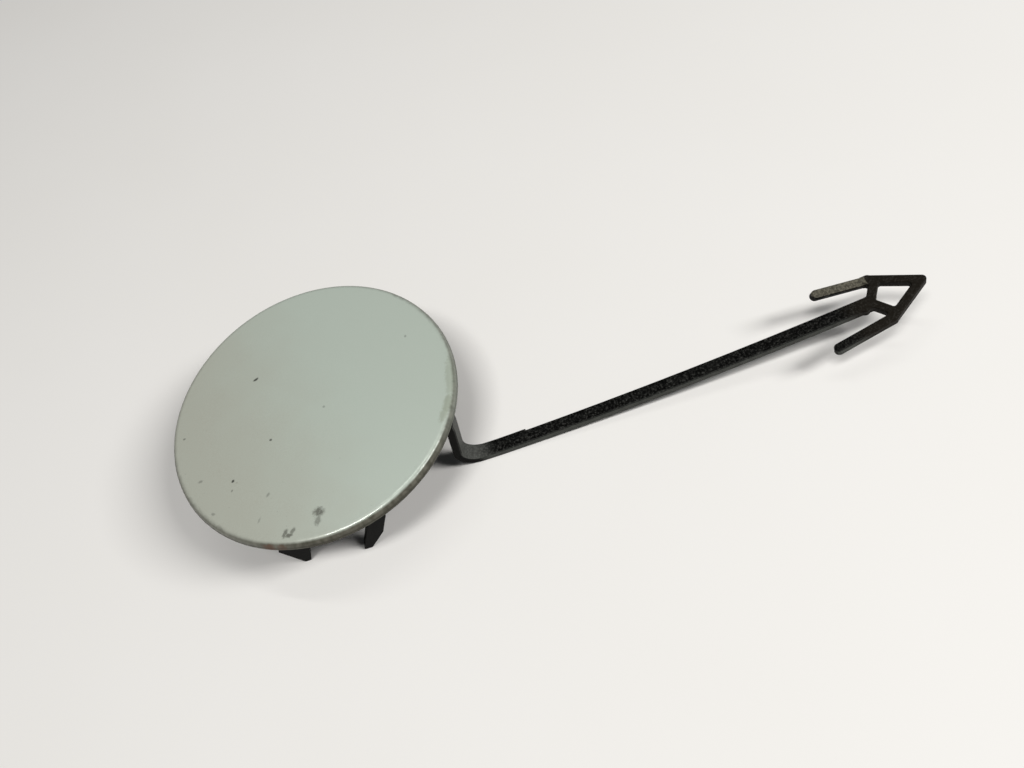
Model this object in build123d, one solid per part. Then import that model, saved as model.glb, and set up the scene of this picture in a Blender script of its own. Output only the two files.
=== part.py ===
from build123d import *
import os
from math import atan2, cos, degrees, radians, sin, sqrt, tan

# Round cover for a bumper's towing socket: a painted cap, snap clips behind it, and a tether strap
# that ends in an open arrowhead. It is one plastic moulding, so it is one solid.
# Lengths are in millimetres and angles in degrees. The origin is on the cap's axis, in the plane of
# the seat behind its rim. +Z points out of the painted face and +X runs along the strap.

# Cap
cap_diameter = 69.6
cap_crown = 0.35
edge_round = 1.5
edge_flat = 0.1
lip_height = 0.4
lip_width = 0.1
seat_land = 2.8
back_recess = 0.5

# Collar behind the cap, with a rib to each clip
collar_diameter = 46.0
collar_wall = 1.5
collar_height = 3.0
rib_thickness = 1.4
rib_height = 2.4

# Snap clips: a raked finger with a lead-in ramp and a nose, in mirrored pairs
clip_length = 19.65
clip_depth = 2.2
clip_arm = 2.4
clip_round = 0.4
catch_rise = 0.8
hook_rake = 19.0
hook_foot_x = -12.2
hook_inset = 7.2
hook_foot_width = 1.5
hook_ramp_height = 8.6
hook_nose_land = 0.6
hook_nose_reach = 7.2
latch_rake = 24.0
latch_foot_x = 0.9
latch_inset = 5.5
latch_foot_width = 2.0
latch_ramp_height = 5.9
latch_nose_height = 13.2
latch_nose_reach = 4.1

# Tether strap: down from the rim, round a bend, then along X with a slow rise
strap_offset = 14.9
strap_width = 3.35
root_extra_width = 0.4
root_length = 6.3
strap_thickness = 2.0
tether_edge_break = 0.25
leg_inset = 1.1
leg_drop = 2.2
leg_knee_radius = 6.0
leg_lean = 7.0
bend_radius = 4.3
bend_skew = 15.0
heel_flat = 1.0
heel_lift = 3.0
heel_lift_radius = 40.0
run_length = 87.0
run_lift = 6.6

# Arrowhead, measured from its fork: U out to the tip, V across. It is turned a little on the strap
bar_width = 2.05
barb_width = 2.2
neck_length = 3.0
head_turn = 2.5
bend_u = 2.27
bend_v = 5.8
tip_u = 11.85
leg_join = 1.45
near_barb_length = 13.3
far_barb_length = 12.6
near_barb_splay = 5.8
far_barb_splay = 3.0
far_barb_lift = 14.5
far_barb_roll = 20.0
crease_back = 1.3
crease_lap = 0.4
corner_round = 0.6
gate_u = 1.4
gate_radius = 1.0
gate_stand = 0.3

cap_radius = cap_diameter / 2
cap_thickness = cap_crown + edge_round + edge_flat + lip_height
root_z = (back_recess + cap_thickness - cap_crown) / 2
foot_z = -clip_length
hook_outer_y = cap_radius - hook_inset
latch_outer_y = cap_radius - latch_inset
tolerance = 0.001


def upright(outline):
    """Stands a flat outline, drawn with X across and Y up, in the XZ plane."""
    return Plane.XZ * outline


def make_cap():
    """Crowned disc with a round edge, a thin lip and a seat land round a shallow recess."""
    land_radius = cap_radius - seat_land
    crown_radius = (cap_radius**2 + cap_crown**2) / (2 * cap_crown)
    face_centre = (0, cap_thickness)
    face_edge = (cap_radius, cap_thickness - cap_crown)
    face_line = RadiusArc(face_centre, face_edge, crown_radius)
    rim_and_back = Polyline(
        face_edge,
        (cap_radius, lip_height),
        (cap_radius + lip_width, lip_height),
        (cap_radius + lip_width, 0),
        (land_radius, 0),
        (land_radius, back_recess),
        (0, back_recess),
        face_centre,
    )
    section = make_face([*face_line.edges(), *rim_and_back.edges()])
    shoulder = section.vertices().sort_by_distance(face_edge)[0]
    return revolve(upright(fillet(shoulder, edge_round)), Axis.Z)


def clip_outline(foot_x, rake, side, foot_width, ramp_height, nose_height, nose_reach):
    """Side view of one clip: its straight back leans by the rake, and its nose is on the given side."""
    def back(height):
        return foot_x + height * tan(radians(rake))

    def front(height, reach):
        return (back(height) + side * reach, foot_z + height)

    top = root_z - foot_z
    outline = Polyline(
        (back(0), foot_z),
        front(0, foot_width),
        front(ramp_height, nose_reach),
        front(nose_height, nose_reach),
        front(nose_height + catch_rise, clip_arm),
        front(top, clip_arm),
        (back(top), root_z),
        close=True,
    )
    face = make_face(outline)
    corners = [v for v in face.vertices() if v.Y < root_z - clip_round]
    return fillet(corners, clip_round)


def make_clips():
    """The pair of clips on the strap's side and their mirror image."""
    hook_nose_height = hook_ramp_height + hook_nose_land
    hook = clip_outline(hook_foot_x, hook_rake, -1, hook_foot_width, hook_ramp_height,
                        hook_nose_height, hook_nose_reach)
    latch = clip_outline(latch_foot_x, latch_rake, 1, latch_foot_width, latch_ramp_height,
                         latch_nose_height, latch_nose_reach)
    clips = []
    for outline, outer_y in ((hook, hook_outer_y), (latch, latch_outer_y)):
        clip = Pos(0, -outer_y, 0) * extrude(upright(outline), clip_depth, dir=(0, 1, 0))
        clips += [clip, mirror(clip, about=Plane.XZ)]
    return clips


def make_collar():
    """Low ring behind the cap."""
    collar_radius = collar_diameter / 2
    ring = Circle(collar_radius) - Circle(collar_radius - collar_wall)
    return Pos(0, 0, -collar_height) * extrude(ring, collar_height + root_z)


def make_ribs():
    """Short ribs from the collar's wall to the middle of each clip's root."""
    collar_mid = (collar_diameter - collar_wall) / 2
    ribs = []
    for foot_x, rake, side, outer_y in (
        (hook_foot_x, hook_rake, -1, hook_outer_y),
        (latch_foot_x, latch_rake, 1, latch_outer_y),
    ):
        root_x = foot_x + clip_length * tan(radians(rake)) + side * clip_arm / 2
        root_y = outer_y - clip_depth / 2
        angle = degrees(atan2(root_y, root_x))
        reach = Vector(root_x, root_y).length
        plan = Pos((collar_mid + reach) / 2, 0) * Rectangle(reach - collar_mid, rib_thickness)
        plan = Rot(0, 0, -angle) * plan
        rib = Pos(0, 0, -rib_height) * extrude(plan, rib_height + root_z)
        ribs += [rib, mirror(rib, about=Plane.XZ)]
    return ribs


def make_strap():
    """Leg, skewed bend and slow rise, with its long edges broken. Also gives the plane at its end."""
    mid_radius = bend_radius + strap_thickness / 2
    lean = radians(leg_lean)
    skew = radians(bend_skew)
    leg_x = sqrt((cap_radius - leg_inset) ** 2 - strap_offset**2)
    bend_z = foot_z + strap_thickness + bend_radius

    drop = Line((leg_x, lip_height), (leg_x, -leg_drop))
    knee = JernArc(drop @ 1, drop % 1, leg_knee_radius, -leg_lean)
    leg_fall = (knee @ 1).Y - bend_z - mid_radius * sin(lean)
    leg = Line(knee @ 1, (knee @ 1) - Vector(leg_fall * tan(lean), leg_fall))
    bend = JernArc(leg @ 1, leg % 1, mid_radius, 90 + leg_lean)
    root_width = strap_width + root_extra_width
    skew_shift = root_width * tan(skew)
    heel = Line(bend @ 1, (bend @ 1) + Vector(skew_shift + heel_flat / 2, 0))
    root_face = upright(trace([drop, knee, leg, bend, heel], strap_thickness))
    near_side = Pos(0, -strap_offset - strap_width / 2, 0)
    root = Pos(-skew_shift / 2, 0, 0) * near_side * extrude(
        root_face, root_width / cos(skew), dir=(sin(skew), cos(skew), 0)
    )

    run_start = (bend @ 1) + Vector(skew_shift / 2, 0)
    run_radius = run_length / radians(run_lift)
    root_lift = degrees(root_length / run_radius)
    flat = Line(run_start, run_start + Vector(skew_shift + heel_flat, 0))
    lift = JernArc(flat @ 1, flat % 1, heel_lift_radius, heel_lift)
    wide_rise = JernArc(lift @ 1, lift % 1, run_radius, root_lift)
    rise = JernArc(wide_rise @ 1, wide_rise % 1, run_radius, run_lift - root_lift)
    wide_face = upright(trace([flat, lift, wide_rise], strap_thickness))
    wide = near_side * extrude(wide_face, root_width, dir=(0, 1, 0))
    run_face = upright(trace([rise], strap_thickness))
    run = near_side * extrude(run_face, strap_width, dir=(0, 1, 0))

    end = rise @ 1
    slope = radians(heel_lift + run_lift)
    end_plane = Plane(
        origin=(end.X, -strap_offset, end.Y),
        x_dir=(cos(slope), 0, sin(slope)),
        z_dir=(-sin(slope), 0, cos(slope)),
    )
    strap = root + wide + run
    near_y = -strap_offset - strap_width / 2
    sides = (near_y, near_y + strap_width, near_y + root_width)
    step = wide_rise @ 1
    step_middle = Vector(step.X, near_y + root_width, step.Y)
    long_edges = []
    for edge in strap.edges():
        middle = edge @ 0.5
        on_side = any(abs(middle.Y - y) < tolerance for y in sides)
        in_cap = middle.Z > lip_height - tolerance
        at_end = abs(end_plane.to_local_coords(middle).X) < tolerance
        at_step = (middle - step_middle).length < strap_thickness
        if on_side and not in_cap and not at_end and not at_step:
            long_edges.append(edge)
    return chamfer(long_edges, tether_edge_break), end_plane


def bar(start, end, width):
    """Flat bar with round ends between two points."""
    start = Vector(*start)
    span = Vector(*end) - start
    angle = degrees(atan2(span.Y, span.X))
    middle = start + span / 2
    return Pos(middle.X, middle.Y) * Rot(0, 0, angle) * SlotCenterToCenter(span.length, width)


def barb_end(side, splay, length):
    """Free end of a barb, which runs back from its bend and out by the splay."""
    turn = radians(splay)
    return (bend_u - length * cos(turn), side * (bend_v + length * sin(turn)))


def flat_arrowhead(head_place):
    """Neck, two arms from the tip, a fork to the neck and two barbs. Offset out and back, the outline
    keeps its outer corners and gets round inner ones."""
    tip = (tip_u, 0)
    arm = Vector(tip_u - bend_u, -bend_v).normalized()
    head = Pos(neck_length / 2, 0) * Rectangle(neck_length, strap_width)
    head += Pos(gate_u, gate_radius - gate_stand - strap_width / 2) * Circle(gate_radius)
    for side, splay, length in (
        (1, far_barb_splay, far_barb_length),
        (-1, near_barb_splay, near_barb_length),
    ):
        bend = (bend_u, side * bend_v)
        join = (bend_u + leg_join * arm.X, side * (bend_v + leg_join * arm.Y))
        head += head_place * bar(bend, tip, bar_width)
        head += head_place * bar((0, 0), join, bar_width)
        head += head_place * bar(bend, barb_end(side, splay, length), barb_width)
    swollen = offset(head, corner_round, kind=Kind.INTERSECTION)
    return offset(swollen, -corner_round, kind=Kind.ARC)


def make_arrowhead(plane):
    """Extruded arrowhead with its far barb bent up and rolled over, just behind the bend."""
    head_place = Pos(neck_length, 0) * Rot(0, 0, head_turn)
    head_plane = Plane(plane * head_place)
    flat = extrude(plane * flat_arrowhead(head_place), strap_thickness / 2, both=True)
    outline_edges = []
    for edge in flat.edges():
        middle = plane.to_local_coords(edge @ 0.5)
        on_face = abs(abs(middle.Z) - strap_thickness / 2) < tolerance
        at_strap = abs(middle.X) < tolerance
        if on_face and not at_strap:
            outline_edges.append(edge)
    flat = chamfer(outline_edges, tether_edge_break)
    turn = radians(far_barb_splay)
    back = Vector(-cos(turn), sin(turn))
    across = Vector(sin(turn), cos(turn))
    bend = Vector(bend_u, bend_v)

    def behind(distance):
        """Block that holds the far barb from a distance behind its bend to past its end."""
        front = bend + back * distance
        window = Rectangle(2 * far_barb_length, barb_width + corner_round, align=(Align.MAX, Align.CENTER))
        window = Pos(front.X, front.Y) * Rot(0, 0, -far_barb_splay) * window
        return extrude(head_plane * window, strap_thickness, both=True)

    crease = bend + back * crease_back
    middle = head_plane.from_local_coords(crease)
    under = head_plane.from_local_coords(crease - Vector(0, 0, strap_thickness / 2))
    barb_line = Axis(middle, head_plane.from_local_coords(crease - back) - middle)
    fold_line = Axis(under, head_plane.from_local_coords(crease + across) - middle)
    far_barb = flat & behind(crease_back - crease_lap)
    far_barb = far_barb.rotate(barb_line, far_barb_roll).rotate(fold_line, far_barb_lift)
    return [flat - behind(crease_back), far_barb]


cap = make_cap()
strap, end_plane = make_strap()
cover = cap.fuse(make_collar(), *make_ribs(), *make_clips(), strap, *make_arrowhead(end_plane)).clean()
print("solids", len(cover.solids()), "volume", round(cover.volume, 1))
box = cover.bounding_box()
print("box", box.min, box.max)

os.makedirs("parts", exist_ok=True)
export_step(cover, "parts/tow_eye_cover.step")
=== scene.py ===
# %% [markdown]
# The object is a round cover for the towing socket in a car's bumper. It was moulded in one shot of black
# plastic: a thin cap, snap clips behind it and a flat tether strap that ends in an open arrowhead. Only
# the cap's face and rim were painted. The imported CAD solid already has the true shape, so nothing is
# modelled again here. This lesson loads it, places the camera, builds the finish, and then sets up the
# paper and the lamps.

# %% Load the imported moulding
from math import radians

import bpy
from mathutils import Matrix, Vector


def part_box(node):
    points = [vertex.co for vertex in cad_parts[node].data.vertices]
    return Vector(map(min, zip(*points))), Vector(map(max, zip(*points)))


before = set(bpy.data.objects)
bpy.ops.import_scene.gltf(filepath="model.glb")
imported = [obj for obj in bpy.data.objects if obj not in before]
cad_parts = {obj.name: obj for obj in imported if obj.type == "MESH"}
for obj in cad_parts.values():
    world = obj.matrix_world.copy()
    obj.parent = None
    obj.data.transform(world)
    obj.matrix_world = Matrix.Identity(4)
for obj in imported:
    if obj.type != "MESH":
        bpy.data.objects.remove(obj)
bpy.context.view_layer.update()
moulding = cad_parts["tow_eye_cover"]
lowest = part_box("tow_eye_cover")[0][2]
mm_per_metre = 1000.0
scene = bpy.context.scene
print("moulding with", len(moulding.data.polygons), "facets")
print("lowest point", round(lowest * mm_per_metre, 2), "mm")

# %% [markdown]
# The photograph was taken by hand, from the front and to the right of the cap. A camera can be placed by
# eye, but here its place, its three axes and its focal length were fitted to the rim's ellipse and to the
# strap, so it is written down as a matrix. Its columns are the camera's right, up and backward
# directions.

# %% Camera
camera = bpy.data.objects.new("camera", bpy.data.cameras.new("camera"))
camera.data.sensor_width = 36.0
camera.data.lens = 29.88
camera.data.clip_start = 0.01
right = Vector((0.9489, -0.2320, -0.2139))
up = Vector((0.3112, 0.8002, 0.5127))
back = Vector((0.0522, -0.5531, 0.8315))
place = Matrix((right, up, back)).transposed().to_4x4()
place.translation = (0.0561, -0.1164, 0.15845)
camera.matrix_world = place
scene.collection.objects.link(camera)
scene.camera = camera
print("camera", round(place.translation.length * mm_per_metre), "mm from the middle of the cap's seat")

# %% [markdown]
# Shaders are sums. Blender adds one Math node for each plus or minus sign, which is slow to write and
# hard to read, so a small class wraps an output socket and lets Python's own signs add those nodes. Every
# other node comes from its one method, which takes the node's type, its settings and what goes into its
# sockets. A mask rises or falls between two values, or does both and makes a band.

# %% Sums on sockets
class Wire:
    """An output socket of a node tree that can be used in sums like a number."""

    def __init__(self, tree, socket=None):
        self.tree = tree
        self.socket = socket

    def node(self, kind, settings, inputs, output=0):
        made = self.tree.nodes.new(kind)
        for name, value in settings.items():
            setattr(made, name, value)
        for name, value in inputs.items():
            if isinstance(value, Wire):
                self.tree.links.new(value.socket, made.inputs[name])
            else:
                made.inputs[name].default_value = value
        return Wire(self.tree, made.outputs[output])

    def math(self, operation, first, second):
        return self.node("ShaderNodeMath", {"operation": operation}, {0: first, 1: second})

    def __add__(self, other):
        return self.math("ADD", self, other)

    def __sub__(self, other):
        return self.math("SUBTRACT", self, other)

    def __mul__(self, other):
        return self.math("MULTIPLY", self, other)

    def __rsub__(self, other):
        return self.math("SUBTRACT", other, self)

    __radd__ = __add__
    __rmul__ = __mul__

    def larger(self, other):
        return self.math("MAXIMUM", self, other)

    def rise(self, low, high):
        """Rises smoothly from 0 to 1 between two values."""
        settings = {"interpolation_type": "SMOOTHSTEP"}
        return self.node("ShaderNodeMapRange", settings, {"Value": self, "From Min": low, "From Max": high})

    def fall(self, low, high):
        """Falls smoothly from 1 to 0 between two values."""
        return 1.0 - self.rise(low, high)

    def band(self, first, last):
        """Rises over a first pair of values and falls again over a last pair."""
        return self.rise(*first) * self.fall(*last)


print("socket sums ready")

# %% [markdown]
# Three kinds of node are used more than once with the same settings, so each has a helper. A Mix node has
# a set of sockets for each type of data, with the same names, so its colour sockets are chosen by number.

# %% Helpers for colours, finishes and clouds
MIX_SHARE, MIX_START, MIX_END, MIX_RESULT = 0, 6, 7, 2


def blend_colours(first, second, share):
    """Mixes two colours by a share that is a wire."""
    inputs = {MIX_SHARE: share, MIX_START: first, MIX_END: second}
    return share.node("ShaderNodeMix", {"data_type": "RGBA"}, inputs, output=MIX_RESULT)


def blend_finishes(first, second, share):
    """Mixes two shaders by a share that is a wire."""
    return share.node("ShaderNodeMixShader", {}, {0: share, 1: first, 2: second})


def noise(where, size, detail=2.0, roughness=0.5):
    """Cloudy pattern between 0 and 1, with features of about a size in the units of its coordinates."""
    inputs = {"Vector": where, "Scale": 1.0 / size, "Detail": detail, "Roughness": roughness}
    return where.node("ShaderNodeTexNoise", {}, inputs)


print("helpers ready")

# %% [markdown]
# All marks and edges of the finish have a place on the object, so the material works in the object's own
# coordinates. They are turned into millimetres, because that is how a moulder thinks of this part. The
# distance from the cap's axis gives the rim, and the height above the seat tells the face from the back.
# The normal tells which way a surface faces: right along the strap, to the far side, or up.

# %% Coordinates in millimetres
finish = bpy.data.materials.new("painted_moulding")
finish.use_nodes = True
tree = finish.node_tree
tree.nodes.remove(tree.nodes["Principled BSDF"])
start = Wire(tree)


def parts_of(vector):
    """X, Y and Z of a vector, as three wires."""
    return [start.node("ShaderNodeSeparateXYZ", {}, {0: vector}, output=axis) for axis in "XYZ"]


def length_of(vector):
    """Length of a vector, as a wire."""
    return start.node("ShaderNodeVectorMath", {"operation": "LENGTH"}, {0: vector}, output="Value")


metres = start.node("ShaderNodeTexCoord", {}, {}, output="Object")
where = start.node("ShaderNodeVectorMath", {"operation": "SCALE"}, {0: metres, "Scale": mm_per_metre})
x, y, z = parts_of(where)
plan = start.node("ShaderNodeCombineXYZ", {}, {"X": x, "Y": y})
from_axis = length_of(plan)
normal = start.node("ShaderNodeNewGeometry", {}, {}, output="Normal")
facing_right, facing_far, facing_up = parts_of(normal)
print("coordinates in millimetres")

# %% [markdown]
# The paint was sprayed from the front, so it covers the face, the round edge and the wall of the rim, and
# stops at the seat. The back of the cap lies lower than the face, so height alone parts the two inside
# the rim, and near the rim a lower limit is used. A fine cloud makes the sprayed edge a little uneven.

# %% Where the paint is
above_back = (1.15, 1.25)
above_seat = (0.08, 0.16)
over_land = (32.1, 32.3)
uneven_height = 0.12
sprayed_height = z + noise(plan, size=0.8) * uneven_height
on_face = sprayed_height.rise(*above_back)
on_rim = sprayed_height.rise(*above_seat) * from_axis.rise(*over_land)
painted = on_face.larger(on_rim)
print("paint mask made")

# %% [markdown]
# The paint is a pale silver with a green cast, darker and warmer towards the left. Real silver paint
# holds fine flakes, which show as a faint grain. Its colour is mixed from two paint tones by a broad
# cloud along X, with a grain far smaller than a millimetre on top.

# %% Paint colour
left_paint_tone = (0.43, 0.445, 0.38, 1.0)
right_paint_tone = (0.48, 0.55, 0.485, 1.0)
flake_silver = (0.55, 0.6, 0.54, 1.0)
tone_width = (-22.0, 22.0)
tone_wander = 16.0
tone_slant = 0.25
flake_spots = (0.3, 0.75)
flake_share = 0.3
# The paint is darker and warmer towards the left.
tone_across = (x + noise(plan, size=9.0) * tone_wander + y * tone_slant).rise(*tone_width)
paint = blend_colours(left_paint_tone, right_paint_tone, tone_across)
flake = noise(where, size=0.16, detail=1.0).rise(*flake_spots)
paint = blend_colours(paint, flake_silver, flake * flake_share)
print("paint tones mixed")

# %% [markdown]
# The cover is used, and its paint has marks. Each could be drawn as a mesh decal, but a soft ellipse in
# the material follows the surface. A Mapping node brings the ellipse to a circle of radius 1, and a fine
# cloud frays every outline.

# %% Shape of a mark
fray_depth = 1.1
soft_edge = (0.95, 1.6)
fray = noise(plan, size=0.7, detail=3.0) * fray_depth


def mark(place_x, place_y, half_length, half_width, turn, strength):
    """Soft frayed ellipse on the face, as a share of cover between 0 and its strength."""
    inputs = {
        "Vector": plan,
        "Location": (place_x, place_y, 0.0),
        "Rotation": (0.0, 0.0, radians(turn)),
        "Scale": (half_length, half_width, 1.0),
    }
    local = start.node("ShaderNodeMapping", {"vector_type": "TEXTURE"}, inputs)
    return (length_of(local) + fray).fall(*soft_edge) * strength


def marks(rows):
    """All marks of a list in one mask."""
    cover = mark(*rows[0])
    for row in rows[1:]:
        cover = cover.larger(mark(*row))
    return cover


print("marks can be drawn")

# %% [markdown]
# Specks of tar and grit sit on the face, two grey rubs are near its lower edge, a brownish chip is on the
# rim, and a green stain creeps in from the right edge. Each row gives a mark's place, half-length and
# half-width in millimetres, its turn in degrees and its strength. A fine cloud breaks up the rubs.

# %% Places of the marks
speck_rows = [
    (-12.7, 11.7, 0.85, 0.42, 20, 0.9),
    (-10.3, -6.5, 0.48, 0.36, 0, 0.85),
    (-20.0, -13.9, 0.55, 0.42, 40, 0.95),
    (-20.4, -16.3, 0.45, 0.32, 60, 0.5),
    (3.1, -2.3, 0.42, 0.36, 0, 0.4),
    (-31.5, 1.6, 0.45, 0.34, 0, 0.55),
    (25.1, 10.0, 0.36, 0.5, 0, 0.4),
    (-27.9, -11.3, 0.8, 0.45, 10, 0.4),
    (-25.1, -20.5, 0.55, 0.4, 150, 0.4),
    (-12.1, -20.2, 0.8, 0.4, 50, 0.4),
    (-14.6, -25.6, 1.0, 0.3, 60, 0.3),
]
rub_rows = [
    (-1.1, -28.1, 1.6, 1.35, -14, 0.8),
    (-1.6, -30.0, 1.5, 0.95, 69, 0.55),
    (-9.1, -30.6, 1.3, 0.65, 55, 0.75),
    (-7.4, -30.6, 1.3, 0.6, 50, 0.65),
    (-8.4, -31.3, 1.3, 0.6, -10, 0.8),
]
chip_rows = [
    (-13.4, -32.2, 2.0, 0.8, 160, 0.6),
    (-10.6, -33.0, 1.6, 0.5, 165, 0.35),
]
stain_rows = [
    (31.2, -11.9, 3.4, 1.3, 66, 0.42),
    (29.9, -14.2, 2.8, 1.1, 62, 0.35),
    (33.2, -5.0, 8.0, 1.5, 80, 0.28),
]
rub_gaps = (0.12, 0.45)
specks = marks(speck_rows)
rubs = marks(rub_rows) * noise(plan, size=0.55).rise(*rub_gaps)
chip = marks(chip_rows)
stain = marks(stain_rows)
print("marks:", len(speck_rows), "specks, 2 rubs, a chip and a stain")

# %% [markdown]
# The stain, a fine grit, the rubs and the specks are laid over the paint in this order, the darkest last.
# The grit is made of the low spots of a small cloud and grows stronger towards the lower left.

# %% Marks on the paint
stain_green = (0.2, 0.215, 0.13, 1.0)
grit_grey = (0.12, 0.125, 0.1, 1.0)
rub_grey = (0.07, 0.072, 0.055, 1.0)
tar_black = (0.03, 0.032, 0.026, 1.0)
grit_spots = (0.2, 0.27)
grit_width = (-5.0, 40.0)
grit_slant = 0.6
grit_share = 0.35
lower_left = (y * -1.0 + x * -grit_slant).rise(*grit_width)
grit = noise(plan, size=1.1, detail=1.0).fall(*grit_spots) * lower_left * grit_share
for colour, cover in ((stain_green, stain), (grit_grey, grit), (rub_grey, rubs), (tar_black, specks)):
    paint = blend_colours(paint, colour, cover)
print("stain, grit, rubs and specks laid over the paint")

# %% [markdown]
# Road dirt collects on the wall of the rim, from the round edge down, and most of all at the front right.
# The same dull brown film is also painted shade, because the wall turns sideways and down and gets less
# light. It hides the paint, so it is a third finish with a mask of its own. Height above the seat drives
# the mask, broken up by a cloud that is drawn out along the rim's height. The chip shows through it, so
# it goes on the paint and on the film.

# %% Grime and painted shade on the rim
wall_top = (1.62, 2.14)
wall_foot = (0.45, 1.2)
lip_top = (0.36, 0.44)
front_right = (18.0, 35.0)
front_slant = 0.35
streak_height = 0.16
streak_tones = (0.3, 0.7)
least_grime_and_shade = 0.68
more_at_front = 0.3
foot_share = 0.6
lip_share = 0.3
grime_and_shade_dark = (0.05, 0.047, 0.034, 1.0)
grime_and_shade_pale = (0.115, 0.11, 0.088, 1.0)
painted_foot_shade = (0.03, 0.028, 0.02, 1.0)
painted_lip_highlight = (0.12, 0.115, 0.095, 1.0)
chip_brown = (0.13, 0.06, 0.038, 1.0)
streaks = noise(plan, size=1.4, detail=3.0)
at_front = (x * front_slant - y).rise(*front_right)
# Grime and painted shade: the wall darkens from the round edge down.
grime_and_shade = (z + streaks * streak_height).fall(*wall_top) * (least_grime_and_shade + at_front * more_at_front)
grime_and_shade_colour = blend_colours(grime_and_shade_dark, grime_and_shade_pale, streaks.rise(*streak_tones))
# Painted shade: the film darkens further towards the foot of the wall, near the paper.
grime_and_shade_colour = blend_colours(grime_and_shade_colour, painted_foot_shade, z.fall(*wall_foot) * foot_share)
# Painted highlight: the lip at the foot is paler, a thin light line along its edge.
grime_and_shade_colour = blend_colours(grime_and_shade_colour, painted_lip_highlight, z.fall(*lip_top) * lip_share)
grime_and_shade_colour = blend_colours(grime_and_shade_colour, chip_brown, chip)
paint = blend_colours(paint, chip_brown, chip)
print("grime on the rim's wall")

# %% [markdown]
# The bare plastic is a deep black with a fine grain from the mould that holds grey dust. On the clips under
# the cap and the near side of the strap's leg it is made darkest, a painted shade from the cap above
# them. Each place is found by where it is and by the way it faces.

# %% Bare plastic
deep_black = (0.001, 0.0011, 0.001, 1.0)
grain_dust = (0.05, 0.051, 0.047, 1.0)
mottle_grey = (0.014, 0.0143, 0.0133, 1.0)
painted_shade_black = (0.0012, 0.0011, 0.0008, 1.0)
inside_rim = (32.0, 34.0)
below_cap = (-6.0, -3.0)
leg_start, leg_end = (27.0, 28.0), (32.0, 34.0)
grain_tones = (0.46, 0.74)
mottle_tones = (0.45, 0.8)
near_turn = (0.6, 0.9)
mottle_share = 0.4
painted_shade_share = 0.85
grain = noise(where, size=0.5, detail=3.0, roughness=0.75)
mottle = noise(where, size=2.0, detail=3.0)
plastic = blend_colours(deep_black, grain_dust, grain.rise(*grain_tones))
plastic = blend_colours(plastic, mottle_grey, mottle.rise(*mottle_tones) * mottle_share)
facing_near = (facing_far * -1.0).rise(*near_turn)
on_clips = from_axis.fall(*inside_rim) * z.fall(*below_cap)
on_leg = x.band(leg_start, leg_end) * facing_near
# Painted shade: the clips and the near side of the leg are darkened.
plastic = blend_colours(plastic, painted_shade_black, on_clips.larger(on_leg) * painted_shade_share)
print("black plastic mixed")

# %% [markdown]
# The strap's near edge is made paler, a painted reflection of the paper in front of it, and the inside
# of its bend is made grey, a painted sheen of the light from the right. Each mask is a band along X, cut
# off beside the strap and limited to the surfaces that face near, or right and up.

# %% Painted sheen on the strap
painted_edge_sheen = (0.1, 0.106, 0.096, 1.0)
painted_bend_sheen = (0.13, 0.135, 0.125, 1.0)
strap_start, strap_end = (32.0, 35.0), (122.0, 126.0)
strap_side = (-14.0, -13.0)
bend_start, bend_end = (28.4, 29.0), (31.5, 37.5)
bend_side = (-12.0, -11.0)
under_rim = (-1.0, -0.5)
inner_turn = (0.4, 0.8)
bend_sheen_tones = (0.3, 0.7)
least_edge_sheen, mottled_edge_sheen = 0.3, 0.5
least_bend_sheen, grainy_bend_sheen = 0.38, 0.32
# Painted reflection: the near edge of the strap is made paler.
near_edge_sheen = x.band(strap_start, strap_end) * y.fall(*strap_side) * facing_near
plastic = blend_colours(plastic, painted_edge_sheen, near_edge_sheen * (least_edge_sheen + mottle * mottled_edge_sheen))
# Painted sheen: the inside of the bend, facing right and up, is made grey.
on_bend = x.band(bend_start, bend_end) * y.fall(*bend_side) * z.fall(*under_rim)
bend_sheen = on_bend * (facing_right + facing_up).rise(*inner_turn)
bend_sheen_share = least_bend_sheen + grain.rise(*bend_sheen_tones) * grainy_bend_sheen
plastic = blend_colours(plastic, painted_bend_sheen, bend_sheen * bend_sheen_share)
print("dust and flexing on the strap")

# %% [markdown]
# The arrowhead is a little brown, and its far barb, which was bent over, is paler and tan on top, up to a
# sharp line at its crease. This is partly wear and partly a painted sheen of the light its tilted top
# catches.

# %% Wear and painted sheen on the arrowhead
head_brown = (0.02, 0.0165, 0.012, 1.0)
dark_wear_and_sheen = (0.045, 0.042, 0.032, 1.0)
tan_wear_and_sheen = (0.165, 0.155, 0.12, 1.0)
head_start = (120.0, 126.0)
barb_end, barb_crease = (110.0, 111.0), (129.5, 129.7)
far_side = (-10.6, -10.2)
top_turn = (0.55, 0.75)
wear_and_sheen_tones = (0.35, 0.7)
head_share = 0.5
barb_share = 0.88
plastic = blend_colours(plastic, head_brown, x.rise(*head_start) * head_share)
# Wear and painted sheen: the far barb's up-facing top is made paler and tan.
barb_top_wear_and_sheen = x.band(barb_end, barb_crease) * y.rise(*far_side) * facing_up.rise(*top_turn)
barb_wear_and_sheen = blend_colours(dark_wear_and_sheen, tan_wear_and_sheen, grain.rise(*wear_and_sheen_tones))
plastic = blend_colours(plastic, barb_wear_and_sheen, barb_top_wear_and_sheen * barb_share)
print("wear on the arrowhead")

# %% [markdown]
# Paint is smoother than the moulded plastic and has a clear layer over it, and its flakes make it a little
# metallic. The marks take its gloss away, and the specks stand up a little. A shallow orange peel is its
# relief. The grime and painted shade on the rim is dull and has no clear layer.

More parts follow.
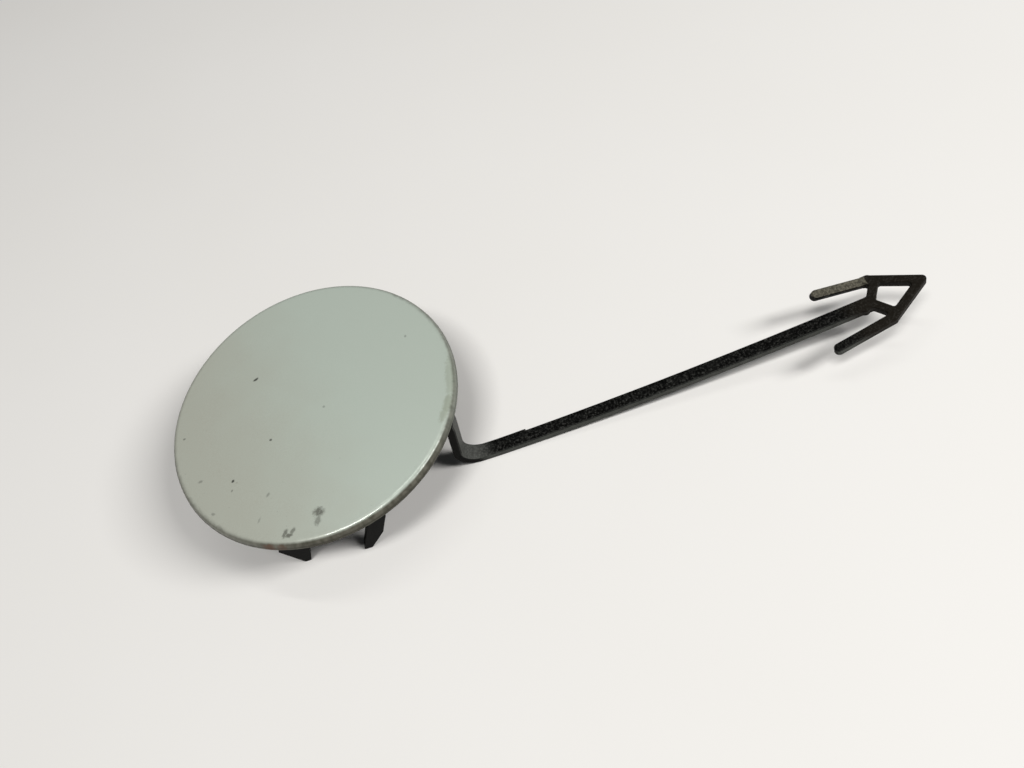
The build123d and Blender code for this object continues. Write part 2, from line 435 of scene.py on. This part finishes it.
# %% Paint shader
peel_height = 0.12
speck_height = 0.35
paint_roughness, dirt_roughness, hazy_roughness = 0.3, 0.3, 0.06
clear_layer = 0.6
dirt = specks.larger(rubs).larger(chip)
haze = noise(plan, size=3.0)
paint_height = noise(plan, size=1.3, detail=1.0) * peel_height + specks * speck_height
paint_relief = {"Strength": 0.25, "Distance": 0.00012, "Height": paint_height}
paint_inputs = {
    "Base Color": paint,
    "Metallic": 0.15,
    "Roughness": paint_roughness + dirt * dirt_roughness + haze * hazy_roughness,
    "Coat Weight": (1.0 - dirt) * clear_layer,
    "Coat Roughness": 0.09,
    "Normal": start.node("ShaderNodeBump", {}, paint_relief),
}
clean_coat = start.node("ShaderNodeBsdfPrincipled", {}, paint_inputs)
grime_and_shade_inputs = {"Base Color": grime_and_shade_colour, "Roughness": 0.7, "Specular IOR Level": 0.15}
grime_and_shade_film = start.node("ShaderNodeBsdfPrincipled", {}, grime_and_shade_inputs)
paint_coat = blend_finishes(clean_coat, grime_and_shade_film, grime_and_shade)
print("paint shader made, with its grime")

# %% [markdown]
# The plastic has no clear layer. The mould's grain is its relief and its colour, and breaks up its dull
# gloss.

# %% Plastic shader
plastic_roughness, grain_roughness = 0.4, 0.2
plastic_relief = {"Strength": 0.35, "Distance": 0.0001, "Height": grain}
plastic_inputs = {
    "Base Color": plastic,
    "Roughness": plastic_roughness + grain * grain_roughness,
    "Specular IOR Level": 0.04,
    "Normal": start.node("ShaderNodeBump", {}, plastic_relief),
}
bare_plastic = start.node("ShaderNodeBsdfPrincipled", {}, plastic_inputs)
print("plastic shader made")

# %% [markdown]
# The moulding is one piece, so all its finishes go into one material, and the paint mask chooses between
# the bare plastic and the paint with its grime. Two materials on two sets of facets would need the mesh
# to be cut along the paint's edge.

# %% Finish of the moulding
surface = blend_finishes(bare_plastic, paint_coat, painted)
tree.links.new(surface.socket, tree.nodes["Material Output"].inputs["Surface"])
moulding.data.materials.clear()
moulding.data.materials.append(finish)
print("finish on the moulding with", len(tree.nodes), "nodes")

# %% [markdown]
# The cover lies on white paper, on the feet of its clips and the heel of its strap. A plane just under
# its lowest point carries it, with a very faint warm cloud so that it doesn't look like a blank screen.

# %% Paper
paper_half = 1.5
paper_gap = 0.00002
warm_white = (0.8, 0.79, 0.765, 1.0)
clear_white = (0.83, 0.825, 0.81, 1.0)
floor_mesh = bpy.data.meshes.new("paper")
floor_height = lowest - paper_gap
corner_signs = ((-1, -1), (1, -1), (1, 1), (-1, 1))
corners = [(u * paper_half, v * paper_half, floor_height) for u, v in corner_signs]
floor_mesh.from_pydata(corners, [], [(0, 1, 2, 3)])
floor = bpy.data.objects.new("paper", floor_mesh)
scene.collection.objects.link(floor)
paper = bpy.data.materials.new("white_paper")
paper.use_nodes = True
paper_where = Wire(paper.node_tree).node("ShaderNodeTexCoord", {}, {}, output="Object")
paper_cloud = noise(paper_where, size=0.09, detail=3.0)
paper_colour = blend_colours(warm_white, clear_white, paper_cloud)
paper_shader = paper.node_tree.nodes["Principled BSDF"]
paper.node_tree.links.new(paper_colour.socket, paper_shader.inputs["Base Color"])
paper_shader.inputs["Roughness"].default_value = 0.75
floor_mesh.materials.append(paper)
print("paper at", round(floor_height * mm_per_metre, 2), "mm")

# %% [markdown]
# The photograph's shadows tell where its light is. The arrowhead has two, one close under it and one to
# its left, both crisp across the strap and soft along it. So two long, narrow sources hang above the
# front, one nearly overhead and one to the right. A third, weak one behind them gives the rim its thin
# highlight. A sun or a point would make hard shadows, so each is an area lamp, placed by a direction and
# turned so that its long side lies along a second one.

# %% Lamps
aim = Vector((0.05, 0.0, 0.0))
lamp_distance = 1.2
lamp_white = (1.0, 0.985, 0.965)
along_strap = (1.0, 0.0, 0.0)
along_tube = (0.9, -0.43, 0.0)


def lamp(name, direction, size, power, along=along_strap):
    """Area lamp that shines on the object from a direction, with its long side along a second one."""
    data = bpy.data.lights.new(name, "AREA")
    data.shape = "RECTANGLE"
    data.size, data.size_y = size
    data.energy = power
    data.color = lamp_white
    outward = Vector(direction).normalized()
    across = Vector(along)
    across = (across - outward * across.dot(outward)).normalized()
    turn = Matrix((across, outward.cross(across), outward)).transposed()
    made = bpy.data.objects.new(name, data)
    made.matrix_world = Matrix.Translation(aim + outward * lamp_distance) @ turn.to_4x4()
    scene.collection.objects.link(made)


lamp("left_lamp", direction=(-0.16, -0.3, 0.93), size=(0.45, 0.15), power=6.9)
lamp("right_lamp", direction=(0.655, -0.28, 0.7), size=(0.55, 0.22), power=10.3)
lamp("back_tube", direction=(0.0, 0.21, 0.978), size=(0.75, 0.05), power=1.2, along=along_tube)

# %% [markdown]
# The walls of the room throw a little light back, which a weak and slightly blue background stands for.
# The Standard view shows colours as they were mixed, without a film's contrast.

# %% Room
world = bpy.data.worlds.new("room")
world.use_nodes = True
background = world.node_tree.nodes["Background"]
background.inputs["Color"].default_value = (0.95, 0.97, 1.0, 1.0)
background.inputs["Strength"].default_value = 0.05
scene.world = world
scene.view_settings.view_transform = "Standard"
print("room light", round(background.inputs["Strength"].default_value, 3))

# %% [markdown]
# The view layer is brought up to date at the end. The visual model must keep the CAD
# model's size.

# %% Update
bpy.context.view_layer.update()
